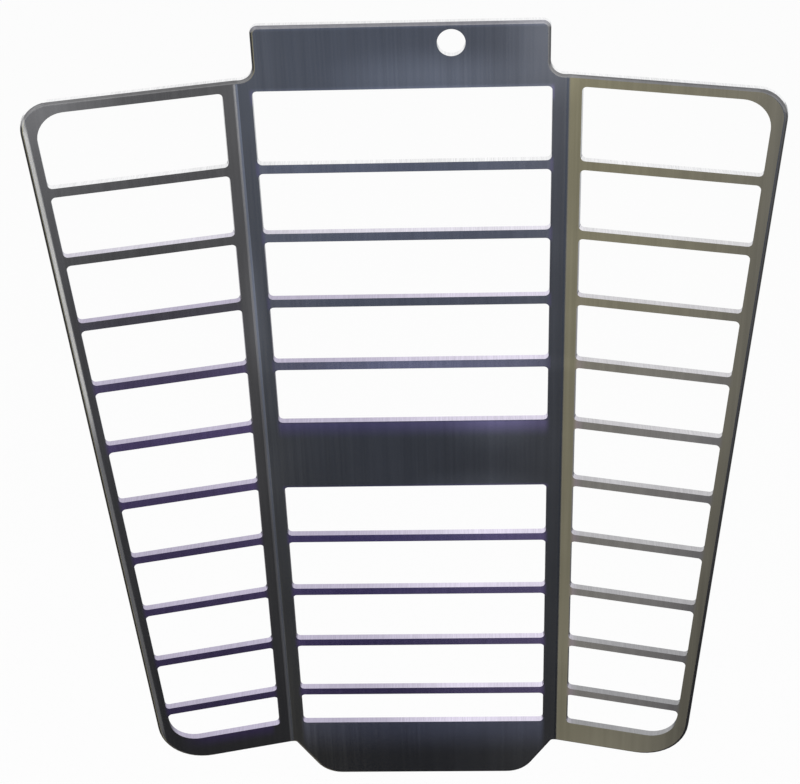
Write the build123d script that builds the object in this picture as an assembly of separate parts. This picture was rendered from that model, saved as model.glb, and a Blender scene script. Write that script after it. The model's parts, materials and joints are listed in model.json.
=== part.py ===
from build123d import *
import os
from math import cos, radians, sin, tan

# Motorcycle radiator guard: one laser-cut steel sheet with two wings folded forward.
# +X is to the right seen from the front, +Y points back at the radiator, +Z is up.
# Origin: rear face of the top tab, on the centre line, level with the fixing hole.

# Sheet and folds
sheet = 2.5  # thickness
fold_angle = 13.4  # degrees that each wing turns forward
fold_radius = 6.0  # inside radius, on the front of the guard
edge_round = 1.0  # dressed outer edges, on the front

# Bars and windows, level across the centre panel and both wings
bar_count = 10
bar_pitch = 24.0  # lower edge of a bar to the lower edge of the next
bar_height = 3.0
first_window_height = 24.5  # over the first bar
last_window_height = 14.2  # under the last bar
band_bar = 5  # the centre panel stays closed from this bar to the next
window_corner = 1.5

# Centre panel
fold_spacing = 99.6  # fold line to fold line, on the front
centre_stile = 4.8  # fold line to the windows

# Top tab
tab_inset = 5.4  # fold line to the tab's side
tab_height = 20.7  # over the windows
tab_corner = 2.5
tab_root = 4.5  # hollow corner where the tab rises from the wings' upper edge

# Fixing hole
hole_diameter = 8.5
hole_offset = 15.0  # right of the centre line
hole_edge = 6.3  # hole centre to the tab's upper edge

# Bottom lip
lip_height = 26.6  # under the windows
lip_inset = 12.4  # fold line to the end of the lip's lower edge
lip_corner = 11.0
lip_root = 1.0  # hollow corner where the lip leaves the wings' lower edge

# Wings, measured along the sheet from the fold line
wing_top_width = 65.2
wing_bottom_width = 47.9
wing_stile = 4.0  # fold line to the windows
top_rail = 3.5
bottom_rail = 10.1
outer_rail = 4.4
wing_top_corner = 9.0
wing_bottom_corner = 19.0
outer_window_top_corner = 8.5
outer_window_bottom_corner = 11.0

# Levels
tab_top = hole_edge
window_top = tab_top - tab_height
wing_top = window_top + top_rail
first_bar_top = window_top - first_window_height
last_bar_bottom = first_bar_top - (bar_count - 1) * bar_pitch - bar_height
window_bottom = last_bar_bottom - last_window_height
wing_bottom = window_bottom - bottom_rail
lip_bottom = window_bottom - lip_height

# Widths at the folds
fold_half = fold_spacing / 2
fold_setback = fold_radius * tan(radians(fold_angle / 2))
flat_half = fold_half - fold_setback
tab_half = fold_half - tab_inset
lip_half = fold_half - lip_inset
centre_window_width = 2 * (fold_half - centre_stile)

# Planes of the front faces
front = -sheet
turn = radians(fold_angle)
centre_plane = Plane(origin=(0, front, 0), x_dir=(1, 0, 0), z_dir=(0, -1, 0))
wing_plane = Plane(
    origin=(fold_half, front, 0),
    x_dir=(cos(turn), -sin(turn), 0),
    z_dir=(-sin(turn), -cos(turn), 0),
)


def window_levels():
    levels = []
    upper = window_top
    for bar in range(bar_count):
        bar_top = first_bar_top - bar * bar_pitch
        levels.append((upper, bar_top))
        upper = bar_top - bar_height
    levels.append((upper, window_bottom))
    return levels


def wing_edge(level):
    rise = (level - wing_bottom) / (wing_top - wing_bottom)
    return wing_bottom_width + rise * (wing_top_width - wing_bottom_width)


def rounded_face(points, radii):
    return make_face(FilletPolyline(*points, radius=radii, close=True))


def dressed_sheet(face, joint):
    solid = extrude(face, -sheet)
    rim = solid.faces().sort_by(Axis.Z)[-1].outer_wire().edges()
    return fillet([edge for edge in rim if abs(abs(edge.center().X) - joint) > 0.01], edge_round)


def centre_panel():
    right_half = [
        (tab_half, tab_top, tab_corner),
        (tab_half, wing_top, min(tab_root, flat_half - tab_half)),
        (flat_half, wing_top, 0),
        (flat_half, wing_bottom, 0),
        (flat_half - 0.75 * lip_root, wing_bottom, lip_root),
        (lip_half, lip_bottom, lip_corner),
    ]
    left_half = [(-x, z, radius) for x, z, radius in reversed(right_half)]
    outline = right_half + left_half
    face = rounded_face([(x, z) for x, z, _ in outline], [radius for _, _, radius in outline])
    for number, (upper, lower) in enumerate(window_levels()):
        if number == band_bar:
            continue
        window = RectangleRounded(centre_window_width, upper - lower, window_corner)
        face -= Pos(0, (upper + lower) / 2) * window
    face -= Pos(hole_offset, 0) * Circle(hole_diameter / 2)
    return centre_plane * dressed_sheet(face, flat_half)


def wing_window(upper, lower, top_corner, bottom_corner):
    points = [
        (wing_stile, upper),
        (wing_edge(upper) - outer_rail, upper),
        (wing_edge(lower) - outer_rail, lower),
        (wing_stile, lower),
    ]
    return rounded_face(points, [window_corner, top_corner, bottom_corner, window_corner])


def wing():
    outline = [
        (fold_setback, wing_top),
        (wing_top_width, wing_top),
        (wing_bottom_width, wing_bottom),
        (fold_setback, wing_bottom),
    ]
    face = rounded_face(outline, [0, wing_top_corner, wing_bottom_corner, 0])
    for number, (upper, lower) in enumerate(window_levels()):
        room = upper - lower - 2 * window_corner
        top_corner = window_corner
        bottom_corner = window_corner
        if number == 0:
            top_corner = min(outer_window_top_corner, room)
        if number == bar_count:
            bottom_corner = min(outer_window_bottom_corner, room)
        face -= wing_window(upper, lower, top_corner, bottom_corner)
    return wing_plane * dressed_sheet(face, fold_setback)


def fold():
    end_plane = Plane(origin=(flat_half, front, 0), x_dir=(0, 1, 0), z_dir=(1, 0, 0))
    height = wing_top - wing_bottom
    section = Pos(sheet / 2, wing_bottom + height / 2) * Rectangle(sheet, height)
    section = fillet(section.vertices().sort_by(Axis.X)[:2], edge_round)
    bend_axis = Axis((flat_half, front - fold_radius, 0), (0, 0, 1))
    return revolve(end_plane * section, bend_axis, -fold_angle)


right_wing = fold() + wing()
left_wing = mirror(right_wing, Plane.YZ)
radiator_guard = centre_panel() + right_wing + left_wing
radiator_guard.label = "radiator_guard"

os.makedirs("parts", exist_ok=True)
export_step(radiator_guard, "parts/radiator_guard.step")
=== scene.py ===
import json
from math import radians
import bmesh
import bpy
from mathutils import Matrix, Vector


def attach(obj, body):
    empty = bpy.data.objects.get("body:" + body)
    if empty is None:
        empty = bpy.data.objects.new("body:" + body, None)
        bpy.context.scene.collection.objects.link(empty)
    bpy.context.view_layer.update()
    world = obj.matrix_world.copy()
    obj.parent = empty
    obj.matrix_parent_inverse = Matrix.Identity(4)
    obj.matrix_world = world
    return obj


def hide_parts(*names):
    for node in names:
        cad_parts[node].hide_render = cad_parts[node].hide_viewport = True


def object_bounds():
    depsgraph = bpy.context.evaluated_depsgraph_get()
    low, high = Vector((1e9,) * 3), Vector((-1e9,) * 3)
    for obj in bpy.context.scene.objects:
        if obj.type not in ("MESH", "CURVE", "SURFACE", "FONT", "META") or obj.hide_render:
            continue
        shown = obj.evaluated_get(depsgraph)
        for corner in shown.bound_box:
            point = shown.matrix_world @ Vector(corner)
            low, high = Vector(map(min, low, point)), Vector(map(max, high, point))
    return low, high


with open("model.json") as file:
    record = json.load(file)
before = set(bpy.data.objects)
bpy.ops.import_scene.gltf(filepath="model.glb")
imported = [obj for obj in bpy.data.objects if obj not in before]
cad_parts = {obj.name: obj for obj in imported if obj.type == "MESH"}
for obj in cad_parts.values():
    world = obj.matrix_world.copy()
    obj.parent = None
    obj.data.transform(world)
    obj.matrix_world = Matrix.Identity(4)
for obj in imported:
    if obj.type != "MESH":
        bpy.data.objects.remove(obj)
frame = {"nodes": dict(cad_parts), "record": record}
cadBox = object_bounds()
print("frame loaded, nodes:", ", ".join(frame["nodes"]))


def addObject(name, data):
    made = bpy.data.objects.new(name, data)
    bpy.context.scene.collection.objects.link(made)
    return made


# The guard: the cut sheet with its edges deburred
guardSheet = {
    "node": "radiator_guard",
    "slot": "brushed_sheet",
    "weld": 0.00001,  # metres, joins the loose triangles
    "level": 0.4,  # degrees, triangles this flat to each other become one face
    "faceLean": 0.9,  # share of the normal along Y on the sheet's two faces, at least
    "wallLean": 0.5,  # the same on a wall that meets them, at most
    "cutLean": 0.24,  # and on a raw cut, at most: the dressed outer edges lie between
    "deburr": 0.00022,  # metres, broken edge of every cut
    "deburrSteps": 2,
    "bendTurn": (0.01, 0.225),  # share of the normal along X on the left fold, which gets a painted highlight
    "bendRise": 0.01,  # and along Z, at most
    "normalWeight": 100,  # keeps the large faces flat in shading
}


def markFaces(bm):
    cutEdge = bm.faces.layers.float.new("cutEdge")
    frontSide = bm.faces.layers.float.new("frontSide")
    dressed = bm.faces.layers.float.new("dressed")
    bend = bm.faces.layers.float.new("bend")
    lowTurn, highTurn = guardSheet["bendTurn"]
    for face in bm.faces:
        normal = face.normal
        lean = abs(normal.y)
        facesFront = normal.y < 0
        onFold = lowTurn < normal.x < highTurn and abs(normal.z) < guardSheet["bendRise"]
        onLeft = face.calc_center_median().x < 0
        face[cutEdge] = float(lean < guardSheet["cutLean"])
        face[frontSide] = float(facesFront)
        face[dressed] = float(guardSheet["cutLean"] <= lean < guardSheet["faceLean"])
        # faces of the left fold that get the painted highlight
        face[bend] = float(onFold and onLeft and facesFront)


def rimEdges(bm):
    rims = []
    for edge in bm.edges:
        if len(edge.link_faces) != 2:
            continue
        leans = sorted(abs(face.normal.y) for face in edge.link_faces)
        if leans[0] < guardSheet["wallLean"] and leans[1] > guardSheet["faceLean"]:
            rims.append(edge)
    return rims


def makeGuard():
    bm = bmesh.new()
    bm.from_mesh(frame["nodes"][guardSheet["node"]].data)
    bmesh.ops.remove_doubles(bm, verts=bm.verts, dist=guardSheet["weld"])
    bmesh.ops.dissolve_limit(bm, angle_limit=radians(guardSheet["level"]), verts=bm.verts, edges=bm.edges)
    markFaces(bm)
    rims = rimEdges(bm)
    print("rim edges:", len(rims))
    bmesh.ops.bevel(bm, geom=rims, offset=guardSheet["deburr"], offset_type="OFFSET",
                    segments=guardSheet["deburrSteps"], profile=0.5, affect="EDGES",
                    clamp_overlap=True, material=-1)
    for face in bm.faces:
        face.smooth = True
    mesh = bpy.data.meshes.new("guardSheet")
    bm.to_mesh(mesh)
    bm.free()
    guard = addObject("guard_sheet", mesh)
    weighted = guard.modifiers.new("flatFaces", "WEIGHTED_NORMAL")
    weighted.weight = guardSheet["normalWeight"]
    triangles = guard.modifiers.new("evenTriangles", "TRIANGULATE")  # no hair-thin ones along the windows
    triangles.ngon_method = "BEAUTY"
    triangles.keep_custom_normals = True
    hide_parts(guardSheet["node"])
    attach(guard, "root")
    print("guard faces:", len(mesh.polygons))
    return guard


# Finish of the sheet and the light and shade painted into its colour: lengths in metres, places to the
# right of the centre line, levels up from the hole
steelFinishAndPaintedLight = {
    "faceColor": (0.22, 0.22, 0.226, 1.0),
    "blend": 0.002,  # length over which a tint ends

    "edgeColor": (0.90, 0.90, 0.91, 1.0),  # bare metal of a fresh cut
    "heatLeft": (0.51, 0.47, 0.60, 1.0),  # painted reflection: lavender sheen on a cut edge, left of the middle
    "heatRight": (0.75, 0.70, 0.84, 1.0),  # and right of it
    "heatLevels": (-0.08, -0.04),  # full under the first, none over the second
    "middle": (-0.03, 0.025),  # places between which the painted tints on the left turn into those on the right
    "dullUpper": (0.63, 0.62, 0.64, 1.0),  # painted shade: cut edge of the right wing, high up
    "dullLower": (0.34, 0.34, 0.35, 1.0),  # and low down, darker
    "dullLevels": (-0.27, -0.10),
    "dullPlaces": (0.048, 0.058),  # where the right wing's painted shade and bar tones take over

    "barUpper": (0.36, 0.36, 0.40, 1.0),  # painted reflection on the front of the centre's upper bars
    "barLeft": (0.34, 0.25, 0.63, 1.0),  # painted reflection on the front of a lower bar, bluish
    "barRight": (0.58, 0.45, 0.87, 1.0),
    "barWing": (0.218, 0.226, 0.31, 1.0),  # the same on the right wing
    "barTint": 0.85,
    "barReach": (0.0013, 0.0034),  # from a bar's middle, where its painted reflection starts to fade and ends
    "barLevels": (-0.16, -0.095),  # the centre's bars: blue under the first, plain over the second
    "wingLevels": (-0.135, -0.075),  # the same on the wings
    "bandReach": 0.0085,  # under the band's head
    # painted reflection: the lip lighter and bluish under the last window
    "lipColor": (0.47, 0.49, 0.65, 1.0),
    "lipReach": 0.019,  # under the last window
    "footReach": 0.0075,  # the same on the left wing, whose foot gets the painted reflection of its bars
    "footFade": 0.014,  # from the outer rail inwards, where that tint grows

    "rubColor": (0.90, 0.90, 0.90, 1.0),  # painted highlight along the edge of the left outer rail
    "rubRough": 0.38,
    "railWidth": 0.0052,  # outer edge to the place where the openings' boxes end
    "rubStart": (0.0006, 0.0011),  # from the outer edge
    "rubEnd": (0.0016, 0.0022),
    "rubFade": (-0.14, -0.112),  # levels between which the painted highlight grows to full, upwards
    "rubFaint": 0.4,  # share of it that is left under the first of them
    "rubFoot": (-0.278, -0.262),  # levels between which it ends below
    "rubTop": (-0.022, -0.012),  # and above

    "smudges": (  # painted reflections, lighter patches: place, level, half width, half height, gain
        (0.012, -0.0110, 0.044, 0.0120, 0.62),
        (0.043, 0.000, 0.016, 0.026, 0.60),
        (0.027, -0.134, 0.021, 0.017, 0.70),
        (0.022, -0.163, 0.030, 0.010, 0.55),
        (0.004, -0.1125, 0.060, 0.007, 0.95),
        (-0.104, -0.014, 0.034, 0.020, 0.22),
        (-0.0498, -0.092, 0.005, 0.036, 0.60),
    ),
    "bendGain": 2.2,  # painted highlight: the left fold is brighter than the faces
    "dressedTone": 0.75,  # painted shade: the dressed outer edges are darker

    "roughness": 0.17,
    "noiseSpan": (0.3, 0.7),  # values of a noise that its tones run between
    "grainScale": (2200.0, 2200.0, 26.0),  # fine across, long down the sheet
    "grainTone": 0.04,
    "grainRough": 0.008,
    "streakScale": (520.0, 520.0, 7.0),  # the broader marks of the brushing
    "streakTone": 0.055,
    "cutScale": (4000.0, 150.0, 4000.0),  # marks of the cut, which run through the sheet
    "cutTone": 0.09,
    "brushDetail": 3.0,
    "patchScale": 26.0,
    "patchDetail": 2.0,
    "patchTone": 0.07,
    "bump": 0.002,
    "bumpDepth": 0.0002,
}


def mathNode(tree, operation, first, second=0.0):
    node = tree.nodes.new("ShaderNodeMath")
    node.operation = operation
    for socket, value in zip(node.inputs, (first, second)):
        if isinstance(value, (int, float)):
            socket.default_value = value
        else:
            tree.links.new(value, socket)
    return node.outputs["Value"]


def product(tree, *masks):
    value = masks[0]
    for mask in masks[1:]:
        value = mathNode(tree, "MULTIPLY", value, mask)
    return value


def rangeNode(tree, value, fromLow, fromHigh, toLow, toHigh, soften="SMOOTHSTEP"):
    node = tree.nodes.new("ShaderNodeMapRange")
    node.interpolation_type = soften
    tree.links.new(value, node.inputs["Value"])
    node.inputs["From Min"].default_value = fromLow
    node.inputs["From Max"].default_value = fromHigh
    node.inputs["To Min"].default_value = toLow
    node.inputs["To Max"].default_value = toHigh
    return node.outputs["Result"]


def rising(tree, value, low, high):
    return rangeNode(tree, value, low, high, 0.0, 1.0)


def falling(tree, value, low, high):
    return rangeNode(tree, value, low, high, 1.0, 0.0)


def mixNode(tree, factor, first, second, blend="MIX"):
    node = tree.nodes.new("ShaderNodeMix")
    node.data_type = "RGBA"
    node.blend_type = blend
    for name, value in (("Factor", factor), ("A", first), ("B", second)):
        socket = [s for s in node.inputs if s.name == name and s.enabled][0]
        if isinstance(value, (int, float, tuple)):
            socket.default_value = value
        else:
            tree.links.new(value, socket)
    return [s for s in node.outputs if s.enabled][0]


def noiseNode(tree, vector, scale, detail):
    node = tree.nodes.new("ShaderNodeTexNoise")
    node.inputs["Scale"].default_value = scale
    node.inputs["Detail"].default_value = detail
    tree.links.new(vector, node.inputs["Vector"])
    return node.outputs["Fac"]


def brushedNoise(tree, place, scale):
    stretch = tree.nodes.new("ShaderNodeMapping")
    stretch.inputs["Scale"].default_value = scale
    tree.links.new(place, stretch.inputs["Vector"])
    return noiseNode(tree, stretch.outputs["Vector"], 1.0, steelFinishAndPaintedLight["brushDetail"])


def swingNode(tree, noise, middle, swing):
    return rangeNode(tree, noise, *steelFinishAndPaintedLight["noiseSpan"], middle - swing, middle + swing)


def attributeNode(tree, name):
    node = tree.nodes.new("ShaderNodeAttribute")
    node.attribute_name = name
    return node.outputs["Fac"]


def axesNode(tree):
    place = tree.nodes.new("ShaderNodeTexCoord").outputs["Object"]
    axes = tree.nodes.new("ShaderNodeSeparateXYZ")
    tree.links.new(place, axes.inputs["Vector"])
    return place, axes.outputs


def windowPlaces():
    boxes = {hole["name"]: hole["box_m"] for hole in frame["record"]["physics"]["openings"]}
    firstBar = (boxes["centre_window_1"][0][2] + boxes["centre_window_2"][1][2]) / 2
    secondBar = (boxes["centre_window_2"][0][2] + boxes["centre_window_3"][1][2]) / 2
    upper = boxes["left_window_2"]
    lower = boxes["left_window_10"]
    lean = (lower[0][0] - upper[0][0]) / (lower[0][2] - upper[0][2])
    return {
        "firstBar": firstBar,
        "pitch": firstBar - secondBar,
        "foot": boxes["centre_window_11"][0][2],
        "bandTop": boxes["centre_window_5"][0][2],
        "bandFoot": boxes["centre_window_7"][1][2],
        "half": boxes["centre_window_1"][1][0],
        "wingInner": upper[1][0],
        "wingLean": lean,  # the left wing's outer rail, as a line over the level
        "wingOuter": upper[0][0] - lean * upper[0][2],
    }


# Front faces with painted reflections on the bars, the lip and the left wing's foot, and a painted
# highlight along the left outer rail
def frontWithPaintedLight(tree, along, level, across, onRightWing):
    place = windowPlaces()
    look = steelFinishAndPaintedLight
    blend = look["blend"]
    foot = place["foot"]
    bandTop = place["bandTop"]
    inner = place["wingInner"]
    fromFirst = mathNode(tree, "SUBTRACT", level, place["firstBar"])
    fromBar = mathNode(tree, "PINGPONG", fromFirst, place["pitch"] / 2)
    onBar = falling(tree, fromBar, *look["barReach"])
    overFoot = rising(tree, level, foot, foot + blend)
    overBand = rising(tree, level, bandTop - blend, bandTop)
    underBand = falling(tree, level, place["bandFoot"], place["bandFoot"] + blend)
    onCentreBar = product(tree, onBar, mathNode(tree, "MAXIMUM", overBand, underBand))
    onBandHead = product(tree, rising(tree, level, bandTop - look["bandReach"], bandTop),
                         mathNode(tree, "SUBTRACT", 1.0, overBand))

    aside = mathNode(tree, "ABSOLUTE", along)
    inCentre = falling(tree, aside, place["half"], place["half"] + blend)
    outside = mathNode(tree, "SUBTRACT", 1.0, inCentre)
    leaning = mathNode(tree, "MULTIPLY", level, -place["wingLean"])
    fromRail = mathNode(tree, "SUBTRACT", mathNode(tree, "ADD", leaning, -place["wingOuter"]), aside)
    onWingBar = product(tree, onBar, rising(tree, fromRail, -blend, 0.0),
                        rising(tree, aside, -inner - blend, -inner),
                        falling(tree, level, *look["wingLevels"]))
    onCentre = product(tree, inCentre, mathNode(tree, "MAXIMUM", onCentreBar, onBandHead))
    barMask = product(tree, mathNode(tree, "MAXIMUM", onCentre, onWingBar), overFoot, look["barTint"])

    # painted reflection: bluish bar fronts, lighter right of the middle
    barReflection = mixNode(tree, across, look["barLeft"], look["barRight"])
    barReflection = mixNode(tree, onRightWing, barReflection, look["barWing"])
    deep = falling(tree, level, *look["barLevels"])
    barColor = mixNode(tree, mathNode(tree, "MAXIMUM", deep, outside), look["barUpper"], barReflection)
    front = mixNode(tree, barMask, look["faceColor"], barColor)

    underFoot = mathNode(tree, "SUBTRACT", 1.0, overFoot)
    # painted reflection on the lip and on the left wing's foot
    onLip = product(tree, rising(tree, level, foot - look["lipReach"], foot), underFoot, inCentre)
    front = mixNode(tree, onLip, front, look["lipColor"])
    onLeft = falling(tree, along, inner - blend, inner)
    onWingFoot = product(tree, rising(tree, level, foot - look["footReach"], foot), underFoot, onLeft,
                         rising(tree, fromRail, 0.0, look["footFade"]), look["barTint"])
    front = mixNode(tree, onWingFoot, front, look["barLeft"])

    fromEdge = mathNode(tree, "ADD", fromRail, look["railWidth"])
    frontSide = attributeNode(tree, "frontSide")
    # painted highlight: a bright line along the left outer rail's edge
    railHighlight = product(tree, rising(tree, fromEdge, *look["rubStart"]),
                  falling(tree, fromEdge, *look["rubEnd"]),
                  rangeNode(tree, level, *look["rubFade"], look["rubFaint"], 1.0),
                  rising(tree, level, *look["rubFoot"]),
                  falling(tree, level, *look["rubTop"]), onLeft, frontSide)
    front = mixNode(tree, railHighlight, front, look["rubColor"])
    return mixNode(tree, frontSide, look["faceColor"], front), railHighlight


def cutColor(tree, level, across, onRightWing):
    look = steelFinishAndPaintedLight
    # painted shade: the right wing's cut edges darker, most of all low down
    low = falling(tree, level, *look["dullLevels"])
    cutShade = mixNode(tree, low, look["dullUpper"], look["dullLower"])
    # painted reflection: lavender sheen on the lower cut edges, lighter right of the middle
    cutReflection = mixNode(tree, across, look["heatLeft"], look["heatRight"])
    cutReflection = mixNode(tree, onRightWing, cutReflection, cutShade)
    return mixNode(tree, falling(tree, level, *look["heatLevels"]), look["edgeColor"], cutReflection)


def reflectionPatchTone(tree, along, level):
    frontSide = attributeNode(tree, "frontSide")
    tone = 1.0
    for right, height, halfWidth, halfHeight, gain in steelFinishAndPaintedLight["smudges"]:
        sideways = mathNode(tree, "DIVIDE", mathNode(tree, "SUBTRACT", along, right), halfWidth)
        upwards = mathNode(tree, "DIVIDE", mathNode(tree, "SUBTRACT", level, height), halfHeight)
        away = mathNode(tree, "ADD", product(tree, sideways, sideways), product(tree, upwards, upwards))
        # painted reflection: a lighter patch, strongest at its middle
        patchLight = rangeNode(tree, mathNode(tree, "SQRT", away), 0.0, 1.0, gain, 0.0)
        tone = mathNode(tree, "ADD", product(tree, patchLight, frontSide), tone)
    return tone


def steelMaterial():
    look = steelFinishAndPaintedLight
    # brushed steel whose colour also holds painted reflections, highlights and shade
    material = bpy.data.materials.new("brushedSteel")
    material.use_nodes = True
    tree = material.node_tree
    shader = tree.nodes["Principled BSDF"]
    shader.inputs["Metallic"].default_value = 1.0
    place, axes = axesNode(tree)
    along = axes["X"]
    level = axes["Z"]
    grain = brushedNoise(tree, place, look["grainScale"])
    streak = brushedNoise(tree, place, look["streakScale"])
    cutMark = brushedNoise(tree, place, look["cutScale"])
    patch = noiseNode(tree, place, look["patchScale"], look["patchDetail"])

    cutEdge = attributeNode(tree, "cutEdge")
    brushed = product(tree, swingNode(tree, grain, 1.0, look["grainTone"]),
                      swingNode(tree, streak, 1.0, look["streakTone"]))
    marks = mixNode(tree, cutEdge, brushed, swingNode(tree, cutMark, 1.0, look["cutTone"]))
    tone = product(tree, marks, swingNode(tree, patch, 1.0, look["patchTone"]),
                   # painted highlight on the left fold
                   rangeNode(tree, attributeNode(tree, "bend"), 0.0, 1.0, 1.0, look["bendGain"]),
                   # painted shade on the dressed outer edges
                   rangeNode(tree, attributeNode(tree, "dressed"), 0.0, 1.0, 1.0, look["dressedTone"]),
                   # painted reflection patches
                   reflectionPatchTone(tree, along, level))
    across = rising(tree, along, *look["middle"])
    onRightWing = rising(tree, along, *look["dullPlaces"])
    front, railHighlight = frontWithPaintedLight(tree, along, level, across, onRightWing)
    color = mixNode(tree, cutEdge, front, cutColor(tree, level, across, onRightWing))
    color = mixNode(tree, 1.0, color, tone, "MULTIPLY")
    tree.links.new(color, shader.inputs["Base Color"])

    # rougher along the painted rail highlight
    rough = mathNode(tree, "ADD", swingNode(tree, grain, look["roughness"], look["grainRough"]),
                     mathNode(tree, "MULTIPLY", railHighlight, look["rubRough"]))
    tree.links.new(rough, shader.inputs["Roughness"])
    bump = tree.nodes.new("ShaderNodeBump")
    bump.inputs["Strength"].default_value = look["bump"]
    bump.inputs["Distance"].default_value = look["bumpDepth"]
    tree.links.new(grain, bump.inputs["Height"])
    tree.links.new(bump.outputs["Normal"], shader.inputs["Normal"])
    print("steel finish set, nodes:", len(tree.nodes))
    return material


# Floor, light and camera
studio = {
    "floorDrop": 1.2,  # metres under the guard
    "floorSize": 12.0,
    "floorColor": (0.97, 0.97, 0.97, 1.0),
    "skyColor": (1.0, 1.0, 1.0, 1.0),
    "skyLight": 1.0,
    "skySeen": 0.97,  # as pale as the floor, so that no horizon shows
    "lampPlace": (-0.9, -1.0, 1.2),
    "lampAim": (0.0, 0.0, -0.15),
    "lampSize": 1.5,
    "lampPower": 2.5,
}

# Graduated card that lies on the floor round the guard and shows only in its reflection
frontCard = {
    "lift": 0.002,  # metres over the floor
    "reach": 8.0,
    "nearBy": 1.25,
    "farOff": 3.4,
    "fullTurn": 360.0,
    "ahead": 0.5,  # place of straight ahead on the ramps
    "tones": (  # degrees to the right of straight ahead, colour near by, colour far off
        (-180.0, (0.05, 0.05, 0.05), (0.52, 0.53, 0.55)),
        (-150.0, (0.05, 0.05, 0.05), (0.90, 0.90, 0.90)),
        (-140.0, (0.08, 0.08, 0.08), (0.17, 0.17, 0.17)),
        (-42.0, (0.08, 0.08, 0.08), (0.17, 0.17, 0.17)),
        (-34.0, (0.62, 0.57, 0.38), (0.99, 0.92, 0.58)),
        (-22.0, (0.69, 0.64, 0.43), (0.99, 0.92, 0.58)),
        (-15.0, (0.92, 0.86, 0.66), (0.98, 0.90, 0.66)),
        (-13.2, (0.03, 0.033, 0.045), (0.98, 0.90, 0.66)),
        (-11.8, (0.03, 0.033, 0.045), (0.30, 0.36, 0.50)),
        (0.0, (0.05, 0.053, 0.065), (0.30, 0.35, 0.47)),
        (3.0, (0.10, 0.103, 0.108), (0.28, 0.32, 0.42)),
        (5.5, (0.17, 0.173, 0.178), (0.27, 0.31, 0.40)),
        (7.5, (0.065, 0.065, 0.07), (0.42, 0.42, 0.43)),
        (13.0, (0.065, 0.065, 0.07), (0.25, 0.25, 0.26)),
        (15.5, (0.065, 0.065, 0.07), (0.25, 0.25, 0.26)),
        (18.0, (0.065, 0.065, 0.07), (0.60, 0.60, 0.61)),
        (55.0, (0.065, 0.065, 0.07), (0.44, 0.44, 0.45)),
        (140.0, (0.08, 0.08, 0.08), (0.25, 0.25, 0.25)),
        (150.0, (0.05, 0.05, 0.05), (0.70, 0.71, 0.72)),
        (180.0, (0.05, 0.05, 0.05), (0.52, 0.53, 0.55)),
    ),
    "strip": (6.0, 12.0),  # degrees, pale strip that the left wing's outer end shows
    "stripSoft": 1.0,
    "stripReach": (2.5, 3.5),  # metres, where the strip starts and is full
    "stripTone": (0.98, 0.98, 0.98, 1.0),
}


def flatSheet(name, size, level):
    bm = bmesh.new()
    bmesh.ops.create_grid(bm, x_segments=1, y_segments=1, size=size)
    bmesh.ops.translate(bm, verts=bm.verts, vec=(0, 0, level))
    mesh = bpy.data.meshes.new(name)
    bm.to_mesh(mesh)
    bm.free()
    sheet = addObject(name, mesh)
    material = bpy.data.materials.new(name)
    material.use_nodes = True
    shader = material.node_tree.nodes["Principled BSDF"]
    shader.inputs["Roughness"].default_value = 1.0
    shader.inputs["Specular IOR Level"].default_value = 0.0
    mesh.materials.append(material)
    return sheet, shader


def makeFloor(level):
    shader = flatSheet("floor", studio["floorSize"], level)[1]
    shader.inputs["Base Color"].default_value = studio["floorColor"]


def toneRamp(tree, turned, column):
    ramp = tree.nodes.new("ShaderNodeValToRGB")
    tree.links.new(turned, ramp.inputs["Fac"])
    stops = ramp.color_ramp.elements
    given = len(stops)  # a new ramp already has two
    for number, tone in enumerate(frontCard["tones"]):
        where = tone[0] / frontCard["fullTurn"] + frontCard["ahead"]
        stop = stops[number] if number < given else stops.new(where)
        stop.position = where
        stop.color = (*tone[column], 1.0)
    return ramp.outputs["Color"]


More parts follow.
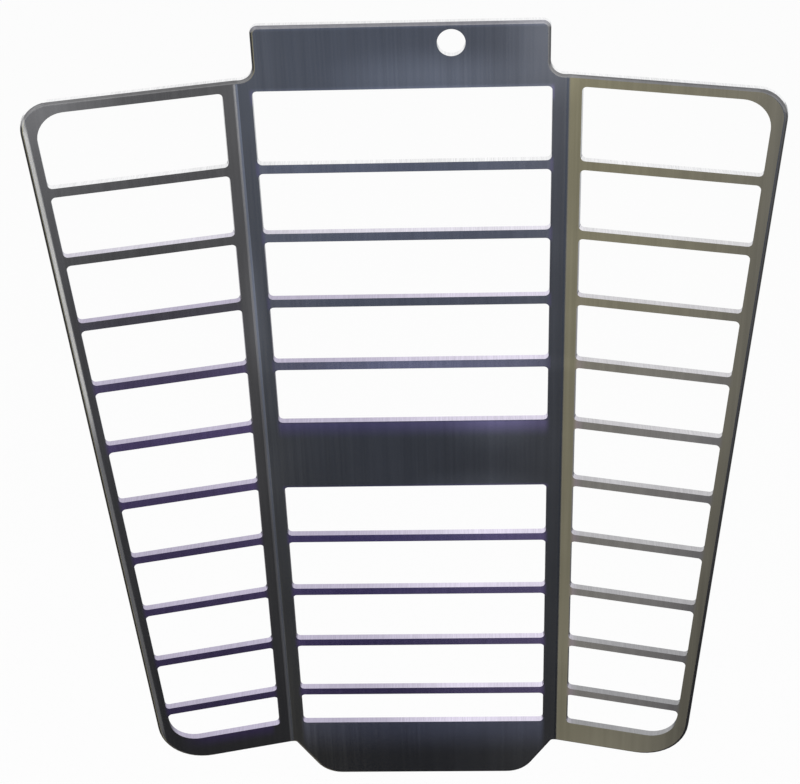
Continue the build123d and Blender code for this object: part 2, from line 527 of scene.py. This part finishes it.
def makeCard(level):
    card, shader = flatSheet("front_card", frontCard["reach"], level)
    tree = card.data.materials[0].node_tree
    axes = axesNode(tree)[1]
    ahead = mathNode(tree, "MULTIPLY", axes["Y"], -1.0)
    angle = mathNode(tree, "DEGREES", mathNode(tree, "ARCTAN2", axes["X"], ahead))
    turned = mathNode(tree, "DIVIDE", angle, frontCard["fullTurn"])
    turned = mathNode(tree, "ADD", turned, frontCard["ahead"])
    squares = mathNode(tree, "ADD", product(tree, axes["X"], axes["X"]), product(tree, ahead, ahead))
    away = mathNode(tree, "SQRT", squares)
    far = rangeNode(tree, away, frontCard["nearBy"], frontCard["farOff"], 0.0, 1.0, "LINEAR")
    color = mixNode(tree, far, toneRamp(tree, turned, 1), toneRamp(tree, turned, 2))
    left, right = frontCard["strip"]
    soft = frontCard["stripSoft"]
    strip = product(tree, rising(tree, angle, left - soft, left),
                    falling(tree, angle, right, right + soft),
                    rising(tree, away, *frontCard["stripReach"]))
    tree.links.new(mixNode(tree, strip, color, frontCard["stripTone"]), shader.inputs["Base Color"])
    card.visible_camera = False
    card.visible_diffuse = False
    card.visible_shadow = False
    card.visible_transmission = False


def makeLight():
    world = bpy.data.worlds.new("studioWorld")
    bpy.context.scene.world = world
    world.use_nodes = True
    tree = world.node_tree
    background = tree.nodes["Background"]
    background.inputs["Color"].default_value = studio["skyColor"]
    rays = tree.nodes.new("ShaderNodeLightPath")
    seen = mathNode(tree, "MAXIMUM", rays.outputs["Is Camera Ray"], rays.outputs["Is Glossy Ray"])
    seen = mathNode(tree, "MAXIMUM", seen, rays.outputs["Is Transmission Ray"])
    strength = rangeNode(tree, seen, 0.0, 1.0, studio["skyLight"], studio["skySeen"])
    tree.links.new(strength, background.inputs["Strength"])
    lamp = bpy.data.lights.new("softLamp", "AREA")
    lamp.size = studio["lampSize"]
    lamp.energy = studio["lampPower"]
    softLamp = addObject("softLamp", lamp)
    softLamp.location = studio["lampPlace"]
    softLamp.visible_camera = False
    aim = Vector(studio["lampAim"]) - Vector(studio["lampPlace"])
    softLamp.rotation_euler = aim.to_track_quat("-Z", "Y").to_euler()


cameraView = {
    "lens": 83.25,
    "sensor": 36.0,
    "nearest": 0.01,  # metres
    "place": (0.01844, -0.51214, 0.21628),
    "turn": (56.344, 1.797, 1.316),  # degrees
}


def makeCamera():
    lens = bpy.data.cameras.new("camera")
    lens.sensor_width = cameraView["sensor"]
    lens.lens = cameraView["lens"]
    lens.clip_start = cameraView["nearest"]
    camera = addObject("camera", lens)
    camera.location = cameraView["place"]
    camera.rotation_euler = [radians(angle) for angle in cameraView["turn"]]
    bpy.context.scene.camera = camera


guard = makeGuard()
guard.data.materials.append(steelMaterial())
floorLevel = cadBox[0].z - studio["floorDrop"]
makeFloor(floorLevel)
makeCard(floorLevel + frontCard["lift"])
makeLight()
makeCamera()
bpy.context.scene.view_settings.view_transform = "Standard"
print("floor, light and camera set")
